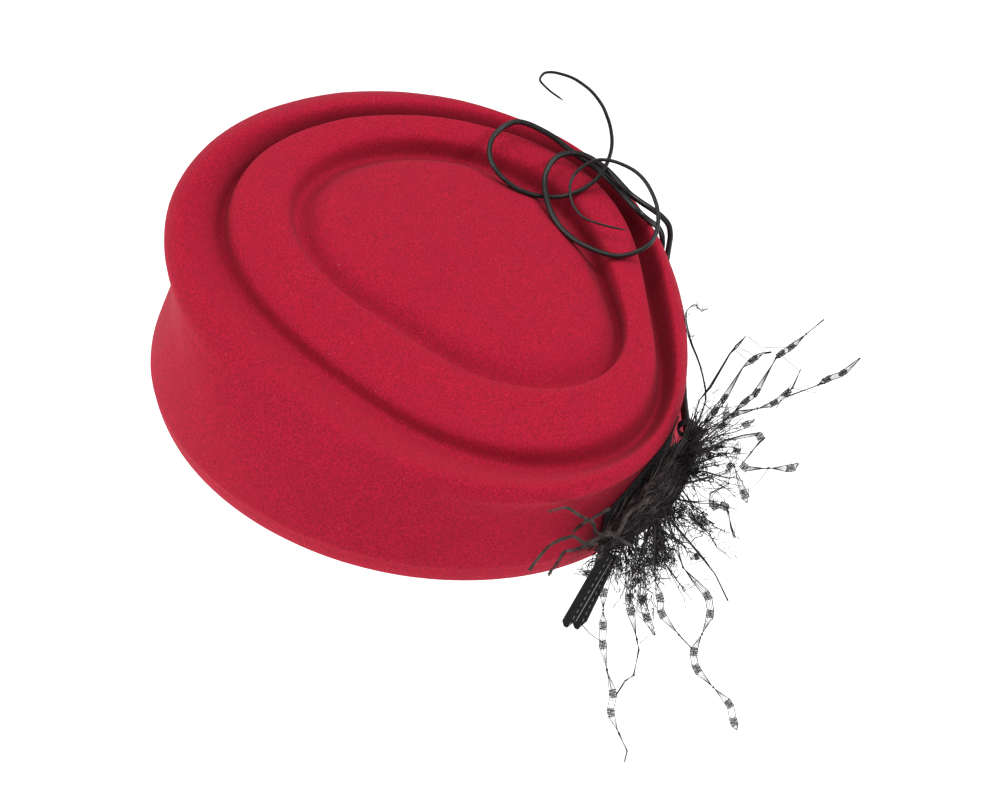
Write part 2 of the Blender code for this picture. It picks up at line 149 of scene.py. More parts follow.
def section_controls(az):
    """The felt's outer face at one azimuth, from the hem's turned-up edge to the crown.

    Each entry is a control point of the cross-section and how many steps follow it.
    """
    low = -BULGE.height(az)
    far_side = HEM_SETBACK + HEM_WIDTH
    shoulder = on_ring(SHOULDER, az)
    inner = on_ring(INNER_GROOVE, az)
    overhang = max(0, RIM.radius(az) - NECK.radius(az))
    under_rim = on_ring(NECK, az).lerp(on_ring(RIM, az), 0.6)
    under_rim -= polar(1, az) * 0.25 * overhang
    hem = [
        (far_side, HEM_TURN, 2), (far_side, 2.5 * MM, 1), (far_side - 1.6 * MM, 0, 1),
        (HEM_SETBACK + 1.6 * MM, 0, 1), (HEM_SETBACK, 2.5 * MM, 1), (0.5 * MM, 7 * MM, 1),
    ]
    return [
        *((on_ring(BULGE, az, inset, low + lift), steps) for inset, lift, steps in hem),
        (on_ring(BULGE, az), 2),
        (on_ring(NECK, az), 2),
        (under_rim, 1),
        (on_ring(RIM, az), 2),
        (on_ring(CREST, az), 2),
        (on_ring(GROOVE, az), 2),
        (shoulder, 2),
        (shoulder.lerp(inner, 0.3) + Vector((0, 0, 3.2 * MM)), 2),
        (shoulder.lerp(inner, 0.78) + Vector((0, 0, 5.4 * MM)), 2),
        (inner, 2),
        (inner.lerp(CROWN_CENTRE, 0.17) + Vector((0, 0, 4 * MM)), 1),
        (inner.lerp(CROWN_CENTRE, 0.55) + Vector((0, 0, 3.2 * MM)), 1),
        (CROWN_CENTRE, 0),
    ]


def spline_point(before, here, after, beyond, u):
    """The Catmull-Rom point at u between here and after, paced by the root of the spacing."""
    pairs = ((before, here), (here, after), (after, beyond))
    a, b, c = (math.sqrt(max((q - p).length, 0.1 * MM)) for p, q in pairs)
    leave = ((here - before) / a - (after - before) / (a + b) + (after - here) / b) * b
    arrive = ((after - here) / b - (beyond - here) / (b + c) + (beyond - after) / c) * b
    return (
        (2 * u**3 - 3 * u**2 + 1) * here
        + (u**3 - 2 * u**2 + u) * leave
        + (-2 * u**3 + 3 * u**2) * after
        + (u**3 - u**2) * arrive
    )


def smooth_section(controls):
    line = []
    for i, (here, steps) in enumerate(controls[:-1]):
        after = controls[i + 1][0]
        before = controls[i - 1][0] if i else here
        beyond = controls[min(i + 2, len(controls) - 1)][0]
        line += [spline_point(before, here, after, beyond, k / steps) for k in range(steps)]
    return line


def wall_point(az_degrees, height, out=0.0):
    """A point on the felt's outer wall at an azimuth and height (mm), moved out from it (mm)."""
    az = math.radians(az_degrees)
    line = smooth_section(section_controls(az))[6:14]
    reach = None
    for low, high in zip(line, line[1:]):
        if low.z <= height * MM <= high.z:
            reach = low.lerp(high, (height * MM - low.z) / (high.z - low.z)).xy.length
            break
    return polar(reach + out * MM, az, height * MM)


def plane_axes(az, lean, turn):
    """The axes of a plane that faces an azimuth, leans back and is turned in itself.

    As a matrix: X to the side, Y up the plane, Z out of it.
    """
    out = polar(math.cos(lean), az, math.sin(lean))
    level = Vector((-math.sin(az), math.cos(az), 0))
    side = level * math.cos(turn) + out.cross(level) * math.sin(turn)
    return Matrix((side, out.cross(side), out)).transposed().to_4x4()


def spray_frame():
    matrix = plane_axes(SPRAY_FACES, SPRAY_LEAN, SPRAY_TURN)
    matrix.translation = SPRAY_CENTRE
    return matrix


def in_spray(points):
    """Millimetre points of the spray's frame, as points of the hat."""
    return [SPRAY @ (Vector(p) * MM) for p in points]


def smooth_route(points, steps):
    line = smooth_section([(p, steps) for p in points])
    return line + [points[-1]]


def band_point(az, height):
    """The band stands just inside the hem, and leans in where the neck is narrow."""
    at_hem = BULGE.radius(az) - HEM_SETBACK - HEM_WIDTH - 2 * GAP
    at_neck = NECK.radius(az) - FELT - 3 * MM
    share = (height - BAND_LOW) / (BAND_HIGH - BAND_LOW)
    reach = at_hem + (min(at_hem, at_neck) - at_hem) * share
    return polar(reach, az, height)


def core_route():
    ends = zip(TRIM_AZIMUTHS, TRIM_HEIGHTS)
    return smooth_route([wall_point(az, height, 8.2) for az, height in ends], 4)


def keep_on_core(share):
    return min(max(share, 0.02), 0.98)


def core_swell(share):
    return 0.5 + 0.5 * math.sin(math.pi * share)


def route_point(route, share):
    """The point at a share of a route's length, and the way the route runs there."""
    place = share * (len(route) - 1)
    i = min(int(place), len(route) - 2)
    return route[i].lerp(route[i + 1], place - i), (route[i + 1] - route[i]).normalized()


def from_core(share, target, clearance):
    """The point just off the core, at a share of its length, that faces the target."""
    centre, axis = route_point(core_route(), share)
    away = target - centre
    away -= axis * away.dot(axis)
    return centre + away.normalized() * (CORE_RADIUS * core_swell(share) + clearance * MM)


def quill_taper(u):
    """A quill keeps its thickness for half its length, then thins to its tip."""
    return 1.08 - 0.72 * max(0, 2 * u - 1) ** 1.3


def quill_route(outset, rise, curl):
    """The stem lies round the hat under the rim, then curls over the crown."""
    stem = []
    for degrees, out, height in QUILL_STEM:
        az = math.radians(degrees)
        reach = NECK.radius(az) + (out + outset * min(1.25, max(0, height - 41) / 4)) * MM
        stem.append(polar(reach, az, (height + rise) * MM))
    return smooth_route(stem + in_spray(curl), 3)


# Routes in the spray's frame, in millimetres: to the side, up the fan, out of it.
CURL_1 = [
    (-3, 104, -74), (-18, 121, -88), (-29, 129, -91), (-38, 136, -92), (-51, 141, -91),
    (-60, 135, -87), (-61, 125, -81), (-51, 114, -77), (-34, 111, -79), (-20, 118, -81), (-14, 131, -83),
    (-18, 147, -82), (-29, 157, -80), (-40, 159, -79), (-42, 156, -78), (-33, 148, -76),
]
CURL_2 = [
    (-7, 112, -79), (-16, 122, -84), (-26, 128, -86), (-35, 127, -84), (-40, 119, -80),
    (-38, 105, -70), (-32, 96.1, -63.8), (-23, 90, -58.5), (-11, 87, -55), (0, 92, -56), (3, 104, -62),
    (-4, 119, -69), (-19, 125, -75), (-29, 119, -75), (-30, 109, -70), (-25, 102, -66), (-9, 97, -60),
]
# Each quill's extra reach where its stem climbs, its rise from the stem's middle, and its curl.
QUILLS = [(0, -1.7, CURL_1), (2.1, 1.7, CURL_2)]
# Azimuth in degrees, then millimetres: outside the neck's radius, and height.
QUILL_STEM = [
    (36.4, 8.2, 33.8), (42, 4.6, 34), (49, 2.4, 34.5), (56, 2, 36), (64, 2.6, 38.5), (74, 4.6, 41),
    (83, 5.6, 40), (90, 7.6, 41.5), (95, 10.2, 46), (98, 11.6, 57),
]
# Each strap's start and end, to the side and up the fan, and how far out of it the strap lies.
STRAPS = [((-18.3, -23.6), (-33.6, -50), 13), ((-16.6, -23.9), (-29.6, -51), 8.5)]

# Net tendrils. Each point has a kind, then millimetres in the spray's frame: "bar" is a
# woven bar across the threads, "cross" a place where they cross over, "loose" where they
# spread, and "line" where they run close together.
BAR, CROSS, LOOSE, LINE = "bar", "cross", "loose", "line"
NET = {
    1: (0.98, [
        (LINE, 13.4, 24.7, -3), (LINE, 15.5, 32, -1), (LOOSE, 19.4, 36.7, 0), (LINE, 26.8, 49, -4),
        (LOOSE, 29.2, 51.8, -5), (LINE, 32.8, 55.6, -6),
    ]),
    2: (0.93, [
        (LINE, 16.9, 22.9, 5), (BAR, 20.4, 28, 8), (BAR, 23.9, 32.5, 8), (LINE, 30.9, 43.8, 6),
        (BAR, 34.6, 46.7, 6), (LOOSE, 37.8, 48.8, 5), (LINE, 41.3, 49.4, 4),
    ]),
    3: (0.86, [
        (LINE, 14, 17.5, 8), (LOOSE, 20.8, 22.3, 13), (CROSS, 26.4, 27, 15), (BAR, 31.3, 31.5, 15),
        (BAR, 34.9, 34.6, 15), (CROSS, 42.2, 47.1, 15), (BAR, 43.9, 48.5, 14), (BAR, 47.7, 51.1, 14),
        (CROSS, 53.3, 55.8, 12), (LINE, 59.9, 61.1, 10),
    ]),
    4: (0.79, [
        (LINE, 14, 14.7, 12), (LOOSE, 17.6, 18.4, 18), (BAR, 22.6, 22.7, 20), (BAR, 26.9, 26.8, 21),
        (CROSS, 34.9, 28.8, 22), (BAR, 40.9, 30.9, 22), (BAR, 45.3, 34.3, 22), (CROSS, 47.3, 36.1, 23),
        (LINE, 50.4, 42.9, 23),
    ]),
    5: (None, [
        (LINE, 45.3, 33, 23), (CROSS, 56.2, 37.2, 27), (BAR, 59.2, 39.2, 28), (BAR, 64.8, 41.6, 29),
        (LINE, 70.9, 46.9, 30),
    ]),
    6: (0.72, [
        (LINE, 15.2, 12.1, 10), (LINE, 23.2, 17.2, 14), (LOOSE, 29.9, 18.7, 16), (BAR, 36.3, 18.7, 17),
        (CROSS, 33.1, 13.3, 17), (BAR, 30.6, 8, 17), (CROSS, 39.5, 7.5, 16), (BAR, 47.3, 7.5, 16),
        (LINE, 50.2, 9.3, 16),
    ]),
    7: (0.65, [
        (LINE, 15.5, 9.5, 5), (LINE, 24.1, 12.6, 6), (CROSS, 27.7, 7.8, 6), (LOOSE, 29.2, 3.7, 6.5),
        (BAR, 31.3, -2.1, 7), (LINE, 32.3, -5.3, 8),
    ]),
    8: (0.58, [
        (LINE, 15.1, 3.1, 12), (LOOSE, 26, 6.4, 15), (CROSS, 25, 1.8, 15), (LOOSE, 18.7, -1.8, 16),
        (BAR, 19.7, -6, 17), (BAR, 23.3, -6.2, 18), (CROSS, 24.8, -8.2, 18), (LINE, 25.8, -13.6, 18),
        (LINE, 27.2, -17.5, 19),
    ]),
    10: (0.52, [
        (LINE, 4.4, -11.4, 8), (LINE, 11.5, -19.6, 11), (LINE, 16.6, -25.8, 11), (LINE, 20.7, -31.2, 9),
        (LINE, 25.3, -40.6, 10),
    ]),
    11: (0.44, [
        (LINE, 3.4, -11.9, 14), (LOOSE, 6.1, -20.1, 17), (CROSS, 8.6, -28.3, 18), (LOOSE, 12.1, -32.6, 19),
        (BAR, 17.1, -38.2, 20.5), (BAR, 18.1, -44.6, 21.5), (CROSS, 15.2, -51.9, 22), (BAR, 12.2, -58, 24),
        (BAR, 13.3, -64.1, 24), (CROSS, 19.1, -70.7, 24.5), (BAR, 24.6, -76.5, 25),
        (BAR, 26.4, -82.9, 25.5), (LINE, 27.5, -85.8, 25.5),
    ]),
    12: (0.36, [
        (LINE, -1.4, -14.7, 18), (LOOSE, -2.4, -25.2, 23), (CROSS, -1.8, -32.2, 26), (BAR, -0.1, -38.6, 27),
        (BAR, 0.6, -44.2, 28), (CROSS, 6.6, -51.7, 28), (LINE, 11.5, -57, 25),
    ]),
    13: (0.16, [
        (LINE, -12.2, -20.1, 18), (LOOSE, -17, -28.9, 20), (BAR, -19.9, -37.1, 21),
        (CROSS, -20.2, -43.2, 22), (BAR, -20.2, -48.9, 22), (BAR, -20.3, -55.6, 23),
        (CROSS, -18.8, -64.5, 23), (BAR, -16.7, -73.1, 23), (BAR, -17.4, -79.8, 24),
        (CROSS, -14.6, -87.2, 25), (LINE, -11.8, -93.2, 26), (LINE, -12.5, -97.3, 26),
    ]),
    14: (0.23, [
        (LINE, -7.7, -18.1, 22), (LOOSE, -10, -26.9, 26), (BAR, -11.2, -38.5, 28), (BAR, -10.5, -43.4, 29),
        (CROSS, -8.4, -53.3, 30), (LINE, -7.7, -56.9, 30), (CROSS, -9.5, -65.9, 30), (LINE, -12.6, -68, 29),
        (LINE, -15.6, -73.3, 27),
    ]),
    15: (0.3, [
        (LINE, -5.2, -18.1, 22), (LOOSE, -6.6, -30.2, 30), (BAR, -6.4, -38.9, 33), (BAR, -5, -45.2, 34),
        (LINE, -2.2, -51.6, 34),
    ]),
}
NET_THREADS = 5
BAR_WIDTH = 2.8 * MM
BAR_LENGTH = 2.5 * MM
# The tendrils that point up the fan are narrower than the rest.
UPPER_TENDRILS = 5
UPPER_WIDTH = 0.62
LOWER_WIDTH = 0.85
LINK_SHORTEST = 3 * MM
LINK_LONGEST = 13 * MM

# The strand behind the felt, and the hair under the straps.
HIDDEN_STRAND = [
    (14, 20.5, -13.5), (19.5, 32, -26.5), (18, 45, -39), (14.5, 56, -47), (13.5, 65, -50),
    (16.5, 68, -50), (19, 66, -49), (21.5, 66.5, -49),
]
STRAY_HAIR = [(-29, -46, 4), (-27, -50, 5), (-23, -54, 6), (-19, -56, 7)]

# Front tendrils: soft feathered strips that lie over the felt, left of the trim.
FIRST_FEATHERED = 16
FEATHERED = {
    16: [[
        (-3.9, -3.9, 17), (-11.1, -9.1, 18), (-15.2, -16.4, 20), (-18.6, -15.6, 21), (-23.1, -18.1, 22),
        (-26.7, -19.4, 24), (-30.7, -16.9, 26), (-34.4, -17.5, 28), (-39.3, -19.9, 29), (-43.6, -24.5, 30),
        (-46.4, -28.4, 31),
    ]],
    17: [[
        (-15.2, -16.4, 20), (-22.4, -16, 21), (-24.2, -11.8, 23), (-27.1, -10.3, 25), (-30.4, -8.4, 28),
        (-33.4, -6.4, 33), (-39.5, -7.5, 40),
    ], [(-10, -20.5, 19), (-14.4, -17.8, 20), (-18.6, -15.6, 21)]],
    18: [
        [(-18, -7.1, 18), (-24.5, -10.9, 19), (-27.3, -12.3, 20), (-30.6, -15.2, 22)],
        [(-22, -19.5, 20), (-26.6, -20.7, 20), (-30.3, -21.7, 22), (-34.3, -22.7, 24), (-36.5, -26.4, 24),
         (-39.6, -30.5, 24)],
    ],
}

# Where each ragged tuft leaves the core, as a share of its length, then where it points in
# the spray's frame, and how straight its fibres are.
SPRAYS = [
    (0.17, (-12, -31, 5), 0.2),
    (0.26, (-6, -36, 8), 0.0),
    (0.36, (0, -35, 9), 0.0),
    (0.47, (5.5, -28, 8), 0.1),
    (0.56, (14, -14, 4), 0.2),
    (0.68, (21, 0, 0), 0.5),
    (0.82, (23, 15, -4), 0.8),
    (0.95, (24, 24, -6), 0.8),
]
TUFT_CLUMPS = 13
TUFT_LINKS = 34
TUFT_LINK_LONGEST = 11 * MM
TUFT_HAIRS = 7


def parts_of(material):
    """A material's nodes, its links and its Principled shader."""
    tree = material.node_tree
    return tree.nodes, tree.links, tree.nodes["Principled BSDF"]


def set_inputs(node, values):
    for name, value in values.items():
        node.inputs[name].default_value = value
    return node


def make_material(name, colour, roughness, metallic=0.0, sheen=0.0, coat=0.0):
    """A plain Principled material; its colour and relief are added by mottle() and relief()."""
    material = bpy.data.materials.new(name)
    material.use_nodes = True
    set_inputs(parts_of(material)[2], {
        "Base Color": (*colour, 1), "Roughness": roughness, "Metallic": metallic,
        "Sheen Weight": sheen, "Sheen Roughness": 0.45, "Coat Weight": coat,
        "Coat Roughness": 0.25, "Specular IOR Level": 0.3,
    })
    return material


def add_noise(material, scale, detail=3.0, stretch=(1, 1, 1)):
    """A noise texture in the object's metres: scale is features in a metre."""
    nodes, links, _ = parts_of(material)
    position = nodes.new("ShaderNodeTexCoord")
    mapping = set_inputs(nodes.new("ShaderNodeMapping"), {"Scale": stretch})
    texture = set_inputs(nodes.new("ShaderNodeTexNoise"), {"Scale": scale, "Detail": detail})
    links.new(position.outputs["Object"], mapping.inputs["Vector"])
    links.new(mapping.outputs["Vector"], texture.inputs["Vector"])
    return texture.outputs["Fac"]


def mottle(material, factor, low, high, span=(0.3, 0.7)):
    """Colours the material from low to high as the factor runs over the span."""
    nodes, links, shader = parts_of(material)
    ramp = nodes.new("ShaderNodeValToRGB")
    for element, position, colour in zip(ramp.color_ramp.elements, span, (low, high)):
        element.position = position
        element.color = (*colour, 1)
    links.new(factor, ramp.inputs["Fac"])
    links.new(ramp.outputs["Color"], shader.inputs["Base Color"])
    return ramp.outputs["Color"]


def overlay(material, below, factor, colour, span, most=1.0):
    """Mixes a colour over the base colour where the factor passes the span."""
    nodes, links, shader = parts_of(material)
    values = {"From Min": span[0], "From Max": span[1], "To Max": most}
    reach = set_inputs(nodes.new("ShaderNodeMapRange"), values)
    mix = nodes.new("ShaderNodeMix")
    mix.data_type = "RGBA"
    links.new(factor, reach.inputs["Value"])
    links.new(reach.outputs["Result"], mix.inputs["Factor"])
    links.new(below, mix.inputs["A"])
    mix.inputs["B"].default_value = (*colour, 1)
    links.new(mix.outputs["Result"], shader.inputs["Base Color"])
    return mix.outputs["Result"]


def relief(material, factor, depth, strength=1.0, below=None):
    """Bumps the surface by the factor; below is the normal of a relief it is added to."""
    nodes, links, shader = parts_of(material)
    bump = set_inputs(nodes.new("ShaderNodeBump"), {"Distance": depth, "Strength": strength})
    links.new(factor, bump.inputs["Height"])
    if below:
        links.new(below, bump.inputs["Normal"])
    links.new(bump.outputs["Normal"], shader.inputs["Normal"])
    return bump.outputs["Normal"]


def rough_by(material, factor, smooth, rough):
    """Lets the roughness follow the factor."""
    nodes, links, shader = parts_of(material)
    reach = set_inputs(nodes.new("ShaderNodeMapRange"), {"To Min": smooth, "To Max": rough})
    links.new(factor, reach.inputs["Value"])
    links.new(reach.outputs["Result"], shader.inputs["Roughness"])


def make_felt():
    """Red wool felt: speckled and blotched, with a few pale hairs, and painted shade that darkens its
    hollows.
    """
    felt = make_material("felt", (0.5, 0.012, 0.04), 0.92, sheen=0.045)
    nodes, _, shader = parts_of(felt)
    set_inputs(shader, {"Sheen Tint": (1, 0.42, 0.5, 1)})
    grain = add_noise(felt, 1500, 4)
    colour = mottle(felt, grain, (0.3, 0.002, 0.017), (0.59, 0.007, 0.043), (0.34, 0.66))
    colour = overlay(felt, colour, add_noise(felt, 90, 3), (0.37, 0.004, 0.027), (0.45, 0.75), 0.4)
    colour = overlay(felt, colour, add_noise(felt, 900, 2), (0.85, 0.25, 0.3), (0.74, 0.8), 0.5)
    # Painted shade: an ambient-occlusion factor darkens the felt's colour in its grooves and hollows.
    painted_hollow_shade = set_inputs(nodes.new("ShaderNodeAmbientOcclusion"), {"Distance": 14 * MM})
    overlay(felt, colour, painted_hollow_shade.outputs["AO"], (0.12, 0.001, 0.008), (0.9, 0.42), 0.66)
    coarse = relief(felt, add_noise(felt, 420, 4), 0.25 * MM, 0.5)
    relief(felt, grain, 0.17 * MM, 0.7, coarse)
    rough_by(felt, grain, 0.85, 1.0)
    return felt


def make_fibre(name, dark, light, roughness, scale, coat=0.0):
    """A dark thread or moulding, mottled from dark to light at a scale in features per metre."""
    fibre = make_material(name, dark, roughness, sheen=0.03, coat=coat)
    grain = add_noise(fibre, scale, 2)
    mottle(fibre, grain, dark, light)
    relief(fibre, add_noise(fibre, scale * 6, 2), 0.05 * MM, 0.5)
    rough_by(fibre, grain, roughness - 0.15, roughness + 0.15)
    return fibre


def add_object(name, data):
    obj = bpy.data.objects.new(name, data)
    bpy.context.scene.collection.objects.link(obj)
    return obj


def add_piece(name, vertices, faces, material, nodes=(), body="hat", angle=60):
    """A mesh piece that hangs on its body and hides the CAD nodes it stands for."""
    mesh = bpy.data.meshes.new(name)
    mesh.from_pydata([tuple(v) for v in vertices], [], faces)
    mesh.materials.append(material)
    mesh.shade_smooth()
    mesh.set_sharp_from_angle(angle=math.radians(angle))
    obj = add_object(name, mesh)
    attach(obj, body)
    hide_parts(*nodes)
    return obj


def direction(points, i, closed=False):
    """The way a line of points runs at one of them."""
    ahead = points[(i + 1) % len(points)] if closed else points[min(i + 1, len(points) - 1)]
    behind = points[i - 1] if closed or i else points[0]
    return (ahead - behind).normalized()


def join_rings(faces, first, rings, sides, closed=False):
    """Quads between rings that were laid one after another, and a cap on each open end."""
    for i in range(rings if closed else rings - 1):
        here, beside = first + i * sides, first + (i + 1) % rings * sides
        for k in range(sides):
            j = (k + 1) % sides
            faces.append((here + k, here + j, beside + j, beside + k))
    if not closed:
        faces.append(tuple(first + k for k in reversed(range(sides))))
        faces.append(tuple(first + (rings - 1) * sides + k for k in range(sides)))


def sweep(vertices, faces, points, radius_at, sides=4, shape_at=None, closed=False):
    """Adds one closed tube along points. radius_at takes the share of the length."""
    first, last = len(vertices), len(points) - 1
    across = None
    for i, point in enumerate(points):
        along = direction(points, i, closed)
        if across is None:
            across = along.orthogonal().normalized()
        across = (across - along * across.dot(along)).normalized()
        up = along.cross(across)
        radius = radius_at(i / last)
        for k in range(sides):
            turn = math.tau * k / sides
            reach = radius * (shape_at(turn, i / last) if shape_at else 1)
            vertices.append(point + (across * math.cos(turn) + up * math.sin(turn)) * reach)
    join_rings(faces, first, len(points), sides, closed)


def add_threads(name, threads, material, nodes=(), sides=4):
    """One piece of many closed threads; each is its points, and the radius at its two ends."""
    vertices, faces = [], []
    for points, thick, thin in threads:
        sweep(vertices, faces, points, lambda u, a=thick, b=thin: a + (b - a) * u, sides)
    return add_piece(name, vertices, faces, material, nodes)


def jitter(dice, size):
    """A random step of at most the size along each axis."""
    return Vector([dice.uniform(-size, size) for _ in range(3)])


def kinked(dice, start, end, steps, wander, sag=Vector()):
    """A thread's points from start to end, bowed by sag and wandering off the line between them."""
    drift = Vector()
    points = []
    for i in range(steps + 1):
        u = i / steps
        points.append(start.lerp(end, u) + drift + sag * 4 * u * (1 - u))
        drift = drift * 0.75 + jitter(dice, wander)
    return points


def build_felt():
    """The felt: a fine mesh of the block's shape, with the faint unevenness of hand blocking."""
    vertices = []
    for i in range(AROUND):
        controls = [(p, steps * 5) for p, steps in section_controls(math.tau * i / AROUND)]
        for p in smooth_section(controls):
            dent = noise.noise(p * 28) * 0.35 + noise.noise(p * 75 + Vector((3, 1, 7))) * 0.12
            nap = noise.noise(p * 400) * 0.07
            away = Vector((p.x, p.y, 0)).normalized() * 0.6 + Vector((0, 0, 0.8))
            vertices.append(p + away * (dent + nap) * MM)
    rows = len(vertices) // AROUND
    vertices.append(CROWN_CENTRE)
    faces = []
    for i in range(AROUND):
        here, beside = i * rows, (i + 1) % AROUND * rows
        for k in range(rows - 1):
            faces.append((here + k, beside + k, beside + k + 1, here + k + 1))
        faces.append((here + rows - 1, beside + rows - 1, len(vertices) - 1))
    felt = add_piece("felt_hat", vertices, faces, FELT_CLOTH, ["felt_body"], angle=80)
    shell = felt.modifiers.new("shell", "SOLIDIFY")
    shell.thickness = FELT
    shell.offset = -1
    shell.use_even_offset = True
    round_lip = felt.modifiers.new("lip", "BEVEL")
    round_lip.width = 0.7 * MM
    round_lip.segments = 3
    round_lip.limit_method = "ANGLE"
    round_lip.angle_limit = math.radians(60)


def build_band():
    """A corded ribbon round the inside, its lower edge tacked to the hem."""
    count, top = BAND_RIBS * 2, 8
    # Each rib is a ring: down the side next to the felt, then up the side next to the head.
    ring = [(0, k) for k in reversed(range(top + 1))] + [(1, k) for k in range(top + 1)]
    vertices, faces = [], []
    for i in range(count):
        az = math.pi * i / BAND_RIBS
        outward = polar(1, az)
        for side, k in ring:
            height = BAND_LOW + (BAND_HIGH - BAND_LOW) * k / top
            inset = 0.08 * MM if i % 2 else (0.2 * MM if k in (0, top) else 0.0)
            depth = BAND_THICK * 0.5 - inset if side else inset - BAND_THICK * 0.2
            wave = noise.noise(band_point(az, height) * 40) * 0.4 * MM
            vertices.append(band_point(az, height) - outward * (depth + BAND_THICK * 0.35 + wave))
    join_rings(faces, 0, count, len(ring), closed=True)
    add_piece("ribbon_band", vertices, faces, RIBBON, ["head_band"])
    tacks = []
    step = math.tau / BAND_TACKS
    for i in range(BAND_TACKS):
        az = math.tau * i / BAND_TACKS
        inward = -polar(1, az)
        low = band_point(az, BAND_LOW + 1.2 * MM) + inward * 1.2 * MM
        high = band_point(az + step * 0.55, BAND_LOW + 3.4 * MM) + inward * 1.2 * MM
        tacks.append(([low, low.lerp(high, 0.5) + inward * 0.25 * MM, high], 0.22 * MM, 0.22 * MM))
    add_threads("band_tacks", tacks, THREAD)


def build_comb():
    """A slide comb with a rounded spine, wavy teeth and blunt tips, moulded in one piece."""
    vertices, faces = [], []
    half = COMB_TEETH * TOOTH_PITCH / 2
    spine = [Vector((COMB_X, -half + 2 * half * k / 24, COMB_HINGE_Z)) for k in range(25)]
    outline = []
    for k in range(24):
        turn = -math.tau * k / 24
        flat = (abs(math.cos(turn)) ** 6 + abs(math.sin(turn)) ** 6) ** (-1 / 6)
        outline.append((flat * math.cos(turn), flat * math.sin(turn)))
    last = len(spine) - 1
    for i, p in enumerate(spine):
        shrink = 1 - 0.35 * max(0, abs(2 * i / last - 1) - 0.9) / 0.1
        for x, z in outline:
            vertices.append(p + Vector((x * COMB_THICK / 2 * shrink, 0, z * COMB_SPINE / 2 * shrink)))
    join_rings(faces, 0, len(spine), len(outline))

    def fullness(u):
        return (TOOTH_WIDTH / 2) * (1 - 0.5 * u) * (1 if u < 0.97 else 0.5)

    base = COMB_HINGE_Z + COMB_SPINE / 2 - 0.8 * MM
    for i in range(COMB_TEETH):
        y = half - (i + 0.5) * TOOTH_PITCH
        route = []
        for k in range(17):
            u = k / 16
            swing = 0.25 * MM * math.sin(4 * math.pi * u) * (1 - u)
            route.append(Vector((COMB_X + swing, y, base + (TOOTH_LENGTH + 0.8 * MM) * u)))
        sweep(vertices, faces, route, fullness, 10)
    add_piece("hair_comb", vertices, faces, PLASTIC, ["slide_comb"], body="comb", angle=50)


def twisted(centre_line, radius, turns, closed=False, plies=2):
    """The strands of a twisted thread, at a radius round a line of points."""
    strands = []
    count = len(centre_line)
    for strand in range(plies):
        points = []
        for i, p in enumerate(centre_line):
            along = direction(centre_line, i, closed)
            side = along.cross(Vector((0.31, 0.27, 0.91))).normalized()
            turn = math.tau * (turns * i / (count if closed else count - 1) + strand / plies)
            points.append(p + (side * math.cos(turn) + along.cross(side) * math.sin(turn)) * radius)
        strands.append(points)
    return strands


def build_stitches():
    """Each comb stitch is three slightly uneven turns of two-ply thread round the spine."""
    dice = random.Random(5)
    for number, gap in enumerate((-3, -1, 1, 3), start=1):
        vertices, faces = [], []
        centre = Vector((COMB_X, gap * TOOTH_PITCH, COMB_HINGE_Z))
        for turn in range(3):
            off = (turn - 1) * 0.28 * MM
            reach = STITCH_RING + dice.uniform(-0.12, 0.12) * MM
            loop = []
            for k in range(72):
                around = math.tau * k / 72
                point = Vector((math.cos(around), off / reach, math.sin(around))) * reach
                loop.append(centre + point)
            for points in twisted(loop, 0.09 * MM, 14, closed=True):
                sweep(vertices, faces, points, lambda u: 0.1 * MM, 5, closed=True)
        node = f"comb_stitch_{number}"
        add_piece(f"comb_thread_{number}", vertices, faces, THREAD, [node])


def build_elastic():
    """Two small braided loops on the band."""
    for side, az in (("left", math.radians(82)), ("right", math.radians(262))):
        outward = polar(1, az)
        foot = band_point(az, 14.5 * MM) - outward * (BAND_THICK + GAP + 0.8 * MM)
        arc = []
        for k in range(61):
            turn = math.pi * (k / 60 - 0.5)
            rise = Vector((0, 0, 2.2 * MM * math.sin(turn) - 2.5 * MM))
            arc.append(foot - outward * 4 * MM * math.cos(turn) + rise)
        vertices, faces = [], []
        sweep(vertices, faces, arc, lambda u: 0.42 * MM, 10)
        for way in (1, -1):
            for points in twisted(arc, 0.46 * MM, 5 * way, plies=4):
                sweep(vertices, faces, points, lambda u: 0.17 * MM, 5)
        add_piece(f"braided_loop_{side}", vertices, faces, ELASTIC, [f"elastic_loop_{side}"])


def build_base():
    """The buckram patch behind the spray: a stiff open mesh of crossed threads, sewn down."""
    threads = []
    low_az, high_az = TRIM_AZIMUTHS[0] + 2, TRIM_AZIMUTHS[2] + 3
    columns, rows = 44, 16

    def patch_point(i, k, out):
        az = low_az + (high_az - low_az) * i / columns
        narrow = 1 - 0.35 * (2 * i / columns - 1) ** 2
        middle = 18 + 15 * (az - 12) / 24
        return wall_point(az, max(middle + (k / rows - 0.5) * 17 * narrow, 9.5), out)

    for i in range(columns + 1):
        line = [patch_point(i, k, 0.75 + 0.12 * (-1) ** (i + k)) for k in range(rows + 1)]
        threads.append((line, 0.24 * MM, 0.24 * MM))
    for k in range(rows + 1):
        line = [patch_point(i, k, 0.75 - 0.12 * (-1) ** (i + k)) for i in range(columns + 1)]
        threads.append((line, 0.26 * MM, 0.26 * MM))
    add_threads("buckram_patch", threads, BUCKRAM, ["trim_base"])


